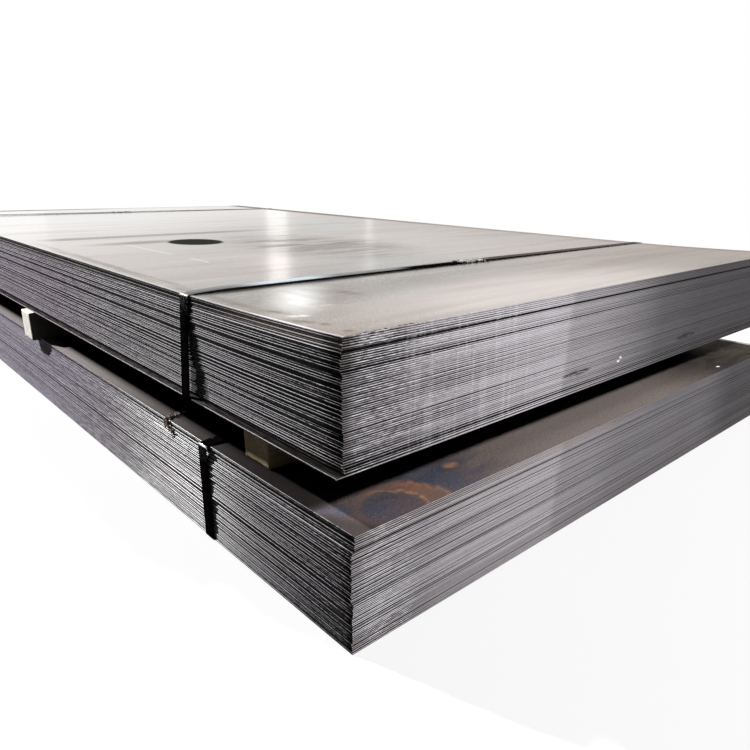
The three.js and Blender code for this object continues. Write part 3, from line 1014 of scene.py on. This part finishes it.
def buildStrap(name, bundle, middleY):
    path, sealX = strapPath(bundle)
    leftHead, rightHead = strapEnds(bundle, -1)[1], strapEnds(bundle, 1)[1]
    points, bends = [], []
    for n, here in enumerate(path):
        before, after = path[n - 1], path[(n + 1) % len(path)]
        run = (after - before).normalized()
        out = Vector((run.y, -run.x))  # to the outside of the loop
        onTop = here.y > bundle["high"] and abs(here.x - sealX) < seals["long"]
        narrow = crimpShare(here.x, sealX) * seals["crimpDepth"] if onTop else 0
        outside = max(leftHead - here.x, here.x - rightHead) + straps["ridge"] - 0.1 > 0
        down = bundle["high"] - here.y
        # 2 on the bend itself, 1 on the upright run below it
        bend = float(outside) * ((down < straps["scuffHigh"]) + (down < straps["ridgeHigh"]))
        for across, through in strapSection(narrow):
            place = here + out * through
            points.append((place.x * mm, (middleY + across) * mm, place.y * mm))
            bends.append(bend)
    faces = skin(len(path), len(strapSection(0)), closed=True)
    mesh = makeMesh(name + "_band", points, faces, [strapLacquer], smooth=[True] * len(faces))
    mesh.set_sharp_from_angle(angle=math.radians(straps["smoothBelow"]))
    setValues(mesh, strapBend=bends)
    piece = makePiece(name + "_band", mesh)
    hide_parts(name)
    return sealX


def sealSection(narrow, lift):
    # outer and inner loop of the folded sleeve, in (across, height over the strap's underside)
    half, thick, wall = straps["wide"] / 2 - narrow, straps["thick"], seals["thick"]
    roundOut, roundIn = seals["roundOut"], seals["roundIn"]

    def loop(side, flat, sideLow, low, sideHigh, high):
        return [
            (-side, sideLow), (-flat, low), (flat, low), (side, sideLow),
            (side, sideHigh), (flat, high), (-flat, high), (-side, sideHigh),
        ]

    outer = loop(half + wall, half + roundOut, -roundIn, -wall, thick + roundIn, thick + wall)
    inner = loop(half, half - roundIn, 0.0, 0.0, thick, thick)
    # its edges curl where it is crimped
    return [(y, z + lift * (abs(y) / half) ** 6 * (1 if y > 0 else -1)) for y, z in outer + inner]


def buildSeal(name, bundle, middleY, sealX):
    base = bundle["high"] + seals["bow"]
    half, sides = seals["long"] / 2, seals["sides"]
    xs = {-half, -half + seals["lip"], half - seals["lip"], half}
    for place in seals["crimps"]:
        xs |= {place + k for k in range(-5, 6)}
    points, faces = [], []
    for x in sorted(xs):
        share = crimpShare(sealX + x, sealX)
        for across, up in sealSection(share * seals["crimpDepth"], seals["crimpLift"] * share):
            points.append(((sealX + x) * mm, (middleY + across) * mm, (base + up) * mm))
    both = 2 * sides
    last = (len(xs) - 1) * both
    for n in range(len(xs) - 1):
        for start in (0, sides):
            for k in range(sides):
                a, b = n * both + start + k, n * both + start + (k + 1) % sides
                loop = (a, b, b + both, a + both)
                faces.append(loop[::-1] if start == 0 else loop)
    for k in range(sides):
        j = (k + 1) % sides
        faces.append((k, j, sides + j, sides + k))
        faces.append((last + j, last + k, last + sides + k, last + sides + j))
    mesh = makeMesh(name + "_sleeve", points, faces, [sealZinc], smooth=[True] * len(faces))
    mesh.set_sharp_from_angle(angle=math.radians(seals["smoothBelow"]))
    piece = makePiece(name + "_sleeve", mesh)
    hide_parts(name)


for key, bundle in bundles.items():
    for end, middleY in (
        ("near", bundle["nearEnd"] + bundle["strapIn"]),
        ("far", bundle["nearEnd"] + plates["long"] - straps["farIn"]),
    ):
        sealX = buildStrap(f"{key}_strap_{end}", bundle, middleY)
        buildSeal(f"{key}_seal_{end}", bundle, middleY, sealX)
print("straps and seals built")


# A dry twig caught on the lower bundle's left edge: one part lies on the top sheet, one hangs over

twig = {
    # points in mm from the left edge of the top sheet, from the near corner and from the top
    "inward": (
        (-1.2, 464, 0.9), (3, 462, 2.4), (9, 467, 1.4), (15, 469, 2.6), (22, 474, 1.6),
        (31, 475, 1.2),
    ),
    "hanging": (
        (-1.2, 464, 0.9), (-1.7, 470, -3), (-1.9, 466, -7.5), (-2.1, 457, -10.2),
        (-2.0, 450, -12.6), (-2.1, 443, -15.2), (-1.9, 437, -16.4),
    ),
    "thick": 1.2, "taper": 0.6, "knots": 0.3, "sides": 6,
    "chips": 24, "chipLong": (5, 10), "chipWide": (2.4, 4.4),
    "chipOff": 0.3, "chipCurl": 2.2,  # how far they stand off the stem
    "bark": (134, 110, 92), "dark": (26, 18, 14),
}


def twigFinish():
    f = Finish("dry_bark", twig, Roughness=0.85)
    mottle = f.grain((210, 210, 210))
    colour = f.blend(mottle.band(0.42, 0.58), "bark", "dark")
    return f.feed(Base_Color=colour, Normal=f.bump(mottle, 0.5, 0.0008))


def tubeRings(line, thickAt):
    # a tube of rings square to a line, closed at both ends
    sides = twig["sides"]
    points = []
    for n, here in enumerate(line):
        run = (line[min(n + 1, len(line) - 1)] - line[max(n - 1, 0)]).normalized()
        aside = run.cross(Vector((0, 0, 1))).normalized()
        above = aside.cross(run)
        for k in range(sides):
            turn = math.tau * k / sides
            points.append(here + (aside * math.cos(turn) + above * math.sin(turn)) * thickAt(n))
    faces = [(a, d, c, b) for a, b, c, d in skin(len(line), sides)]
    ends = [tuple(range(sides)), tuple(len(points) - 1 - k for k in range(sides))]
    return points, faces + ends


def smoothLine(corners, steps=5):
    # a line through the given points, rounded between them
    made = []
    for n in range(len(corners) - 1):
        before, a = corners[max(n - 1, 0)], corners[n]
        b, after = corners[n + 1], corners[min(n + 2, len(corners) - 1)]
        for k in range(steps):
            t = k / steps
            made.append(0.5 * (
                2 * a + (b - before) * t + (2 * before - 5 * a + 4 * b - after) * t ** 2
                + (3 * a - before - 3 * b + after) * t ** 3
            ))
    return made + [corners[-1]]


def buildTwig(name, bundle):
    start = Vector((bundle["edges"][-1][0], nearCorner.y / mm, bundle["high"]))
    points, faces = [], []

    def keep(made):
        base = len(points)
        points.extend(tuple(p * mm) for p in made[0])
        faces.extend(tuple(base + k for k in loop) for loop in made[1])

    def between(limits, salt, draw):
        low, high = limits
        return low + (high - low) * (0.5 + 0.5 * scatter(salt, draw))

    for arm, key in enumerate(("inward", "hanging")):
        line = smoothLine([start + Vector(p) for p in twig[key]])

        def stemAt(n):
            taper = 1 - twig["taper"] * n / len(line)
            return twig["thick"] * taper * (1 + twig["knots"] * math.sin(n * 1.9 + arm) ** 2)

        keep(tubeRings(line, stemAt))
        # curled chips of bark that stand off the stem
        for n in range(twig["chips"]):
            salt = 3 * n + 50 * arm
            where = line[round(between((0, len(line) - 1), salt, 3))]
            long = between(twig["chipLong"], salt, 4)
            wide = between(twig["chipWide"], salt, 5)
            turn = math.pi * scatter(salt, 6)
            # over the sheet they spread level, on the side they keep close to the edges
            level = Vector((math.cos(turn), math.sin(turn), 0.15 * scatter(salt, 7)))
            out = Vector((0, 0, 1))
            if arm:
                level = Vector((-0.12, math.cos(turn), math.sin(turn) * 0.6))
                out = Vector((-1, 0, 0))
            level.normalize()
            chip = [
                where + level * long * t
                + out * (twig["chipOff"] + twig["chipCurl"] * t * (1 - t))
                for t in np.linspace(0, 1, 6)
            ]

            def chipAt(n):
                return wide / 2 * (0.25 + 0.75 * math.sin(math.pi * (n + 0.6) / 6.2)) * 0.6

            keep(tubeRings(chip, chipAt))
    piece = makePiece(name, makeMesh(name, points, faces, [twigFinish()]))


buildTwig("lower_edge_twig", bundles["lower"])


# Timber bearers

timber = {
    "rings": 210, "cuts": (84, 16, 16), "arris": 2.2, "wear": 0.5, "seedStep": 13.7,
    # waves per metre, along it and across it: in its worn arrises, fine and slow on its sides
    "arrisWaves": (9, 40), "fineWaves": (60, 260), "slowWaves": (7, 30), "slowShare": 0.6,
    "heart": (0.0, 0.018, -0.162),
    # drying splits in both ends: direction and length, then what they have in common
    "splits": ((0.9, 26), (3.4, 18), (5.1, 12)), "splitHalf": 2.2, "splitDeep": 2.4,
    "splitFrom": (4, 6), "endThick": 3,
    "pale": (255, 250, 240), "late": (224, 206, 174), "weathered": (150, 130, 104),
    "mossy": (142, 127, 100), "mossyLate": (107, 95, 73), "sooty": (62, 53, 42),
    "black": (24, 16, 12),
}


def timberFinish():
    f = Finish("rough_sawn_pine", timber, Specular_IOR_Level=0.1)
    # growth rings round a heart that runs along the piece, a little off its middle
    heart = f.node("VectorMath", {"operation": "ADD"}, {0: f.position, 1: timber["heart"]})
    wander = f.grain((1.2, 6, 6), 2)
    y, z = f.split(heart)[1:]
    bearerY = f.attribute("bearerY")
    isOld = bearerY.band(-0.5, -0.6)  # the near bearer is weathered
    across = y - bearerY + 0.02 * (wander - 0.5)
    late = f.fraction(f.distance(across, z) * timber["rings"]).band(0.45, 0.95)
    fibre = f.grain((14, 420, 420), 4, 0.6)
    saw = f.grain((700, 10, 10), 2)
    dirt = f.grain((9, 26, 26), 4)
    aside = abs(f.facing()[1])
    grimeAndShade = f.blend(isOld, "weathered", "sooty")
    colour = f.layers(
        f.blend(isOld, "pale", "mossy"),
        (late * (0.3 + 0.3 * isOld), f.blend(isOld, "late", "mossyLate")),
        (fibre.band(0.5, 0.75) * 0.3, grimeAndShade),
        (dirt.band(0.5, 0.75) * (0.25 + 0.25 * isOld), grimeAndShade),
        # painted shade: the long sides of the others are near black, as in the shade between the
        # bundles
        (aside.band(0.6, 0.9) * (1 - isOld) * 0.93, "black"),
    )
    height = 0.5 * fibre + 0.3 * saw + 0.2 * late
    return f.feed(
        Base_Color=colour, Roughness=0.75 + 0.2 * (fibre - 0.5), Normal=f.bump(height, 0.6, 0.0012),
    )


pine = timberFinish()


def timberWave(p, key, seedX=0.0, seedY=0.0):
    along, across = timber[key]
    return ripple(p.x * along + seedX, p.y * across + seedY, p.z * across)


def buildBearer(name, seed):
    # a box of fine squares, worn round at its arrises and rough on every side
    low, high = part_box(name)
    size = high - low
    bm = bmesh.new()
    cuts = timber["cuts"]
    for axis in range(3):
        u, v = (axis + 1) % 3, (axis + 2) % 3
        for end in (0, 1):
            grid = {}
            for i in range(cuts[u] + 1):
                for j in range(cuts[v] + 1):
                    place = [0.0, 0.0, 0.0]
                    place[axis], place[u], place[v] = end, i / cuts[u], j / cuts[v]
                    grid[i, j] = bm.verts.new([low[k] + size[k] * place[k] for k in range(3)])
            for i in range(cuts[u]):
                for j in range(cuts[v]):
                    loop = [grid[i, j], grid[i + 1, j], grid[i + 1, j + 1], grid[i, j + 1]]
                    bm.faces.new(loop if end else loop[::-1])
    bmesh.ops.remove_doubles(bm, verts=bm.verts, dist=1e-6)
    middle = (low + high) / 2
    half, deep = timber["splitHalf"], timber["splitDeep"] * mm
    for vert in bm.verts:
        p = vert.co.copy()
        worn = timber["arris"] * mm * (1 + 0.5 * timberWave(p, "arrisWaves", seed))
        core = Vector(min(max(p[k], low[k] + worn), high[k] - worn) for k in range(3))
        away = p - core
        if away.length > 0:
            p = core + away.normalized() * worn
        rough = timberWave(p, "fineWaves", seed)
        rough += timber["slowShare"] * timberWave(p, "slowWaves", 0.0, seed)
        inward = middle - p
        inward.x = inward.x / size.x * size.z
        p += inward.normalized() * timber["wear"] * mm * (0.6 + 0.6 * rough)
        for endX, side in ((low.x, 1), (high.x, -1)):
            if abs(p.x - endX) < timber["endThick"] * mm:
                for turn, reach in timber["splits"]:
                    y = (p.y - middle.y) / mm + timber["splitFrom"][0]
                    z = (p.z - middle.z) / mm + timber["splitFrom"][1]
                    forward = y * math.cos(turn) + z * math.sin(turn)
                    aside = -y * math.sin(turn) + z * math.cos(turn) + 0.8 * math.sin(forward / 3)
                    aside = abs(aside)
                    if 0 < forward < reach and aside < half:
                        p.x += side * deep * (1 - aside / half) * (1 - forward / reach)
        vert.co = p
    mesh = bpy.data.meshes.new(name + "_timber")
    bm.to_mesh(mesh)
    bm.free()
    mesh.materials.append(pine)
    mesh.polygons.foreach_set("use_smooth", [True] * len(mesh.polygons))
    setValues(mesh, bearerY=[middle.y] * len(mesh.vertices))
    piece = makePiece(name + "_timber", mesh)
    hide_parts(name)


for seed, name in enumerate(("bearer_near", "bearer_middle", "bearer_far")):
    buildBearer(name, seed * timber["seedStep"])
print("bearers built")


# Floor, light and camera

view = {
    "place": (-1.00729, -1.75719, 0.53180), "yaw": 0.771299, "pitch": 0.299846,
    "roll": 0.0179075, "focal": 651.433, "centreX": 424.467, "wide": 750, "sensor": 36,
    "clip": (0.01, 200),
}

studio = {
    "ambient": 0.028, "floor": (0.025, 0.6), "floorHalf": 40,
    # the floor turns white between these distances from the stack
    "white": (1.2, 3.2, 0.75, 1.0),
    "sun": 9.0, "sunTravel": (0.26, -0.83, -0.49), "sunAngle": 2.0,
    # place, aim, energy and size of the two lamps that soften the shadows
    "softeners": {
        "fill": ((0.2, -3.6, 2.7), (-0.2, -1.2, 0.2), 150, 0.3),
        "side": ((4.6, -1.6, 1.9), (0.5, 0, 0.2), 220, 0.8),
    },
    # bearing from the camera, distance, foot, width, height and energy of each tall panel
    "panels": (
        (31.5, 7.0, 0.4, 0.20, 0.8, 0.21), (31.5, 7.0, 1.2, 0.20, 1.6, 1.3),
        (39.2, 7.0, 0.4, 0.07, 2.0, 0.16), (5.5, 7.0, 0.4, 2.2, 2.4, 1.7),
    ),
}


def buildWorld():
    world = bpy.data.worlds.new("studio")
    bpy.context.scene.world = world
    world.use_nodes = True
    w = Nodes(world.node_tree)
    background = w.tree.nodes["Background"]
    strength = w.node("MapRange", {}, {0: w.isSeen(), 3: studio["ambient"], 4: 1.0})
    w.join((1, 1, 1, 1), background.inputs["Color"])
    w.join(strength, background.inputs["Strength"])


def buildFloor():
    f = Finish("pale_floor", studio, Roughness=0.9)
    seen = f.isSeen()
    share = f.distance(f.x, f.y).band(*studio["white"]) * seen
    f.feed(Base_Color=seen.band(0, 1, *studio["floor"]))
    f.cover(share, f.node("Emission", {}, {}))
    half = studio["floorHalf"]
    points = [(-half, -half, 0), (half, -half, 0), (half, half, 0), (-half, half, 0)]
    floor = addObject("floor", makeMesh("floor", points, [(0, 1, 2, 3)], [f.material]))


def addLight(name, kind, place, aim, energy, **settings):
    data = bpy.data.lights.new(name, kind)
    data.energy = energy
    for key, value in settings.items():
        setattr(data, key, value)
    lamp = addObject(name, data)
    lamp.location = place
    lamp.rotation_euler = (Vector(aim) - Vector(place)).to_track_quat("-Z", "Y").to_euler()
    lamp.visible_camera = False
    return lamp


def addLights(cameraPlace):
    sunPlace = -4 * Vector(studio["sunTravel"])
    angle = math.radians(studio["sunAngle"])
    addLight("sun", "SUN", sunPlace, (0, 0, 0), studio["sun"], angle=angle)
    for name, (place, aim, energy, size) in studio["softeners"].items():
        lamp = addLight(name, "AREA", place, aim, energy, shape="SQUARE", size=size)
        lamp.visible_glossy = False
    for n, (bearing, away, foot, wide, tall, energy) in enumerate(studio["panels"]):
        turn = math.radians(bearing)
        place = cameraPlace + Vector((math.sin(turn) * away, math.cos(turn) * away, 0))
        place.z = foot + tall / 2
        addLight(
            f"panel_{n + 1}", "AREA", place, (cameraPlace.x, cameraPlace.y, place.z), energy,
            shape="RECTANGLE", size=wide, size_y=tall,
        )


def addCamera(cameraPlace):
    camera = addObject("camera", bpy.data.cameras.new("camera"))
    yaw, pitch, roll, wide = view["yaw"], view["pitch"], view["roll"], view["wide"]
    forward = Vector((
        math.cos(pitch) * math.sin(yaw), math.cos(pitch) * math.cos(yaw), -math.sin(pitch),
    ))
    level = Vector((math.cos(yaw), -math.sin(yaw), 0))
    upright = level.cross(forward)
    right = level * math.cos(roll) + upright * math.sin(roll)
    up = upright * math.cos(roll) - level * math.sin(roll)
    turned = Matrix((right, up, -forward)).transposed().to_4x4()
    camera.matrix_world = Matrix.Translation(cameraPlace) @ turned
    camera.data.sensor_width = view["sensor"]
    camera.data.lens = view["focal"] / wide * view["sensor"]
    camera.data.shift_x = -(view["centreX"] - wide / 2) / wide
    camera.data.clip_start, camera.data.clip_end = view["clip"]
    bpy.context.scene.camera = camera


cameraPlace = Vector(view["place"])
buildWorld()
buildFloor()
addLights(cameraPlace)
addCamera(cameraPlace)
bpy.context.scene.view_settings.view_transform = "Standard"
print("floor, light and camera set")
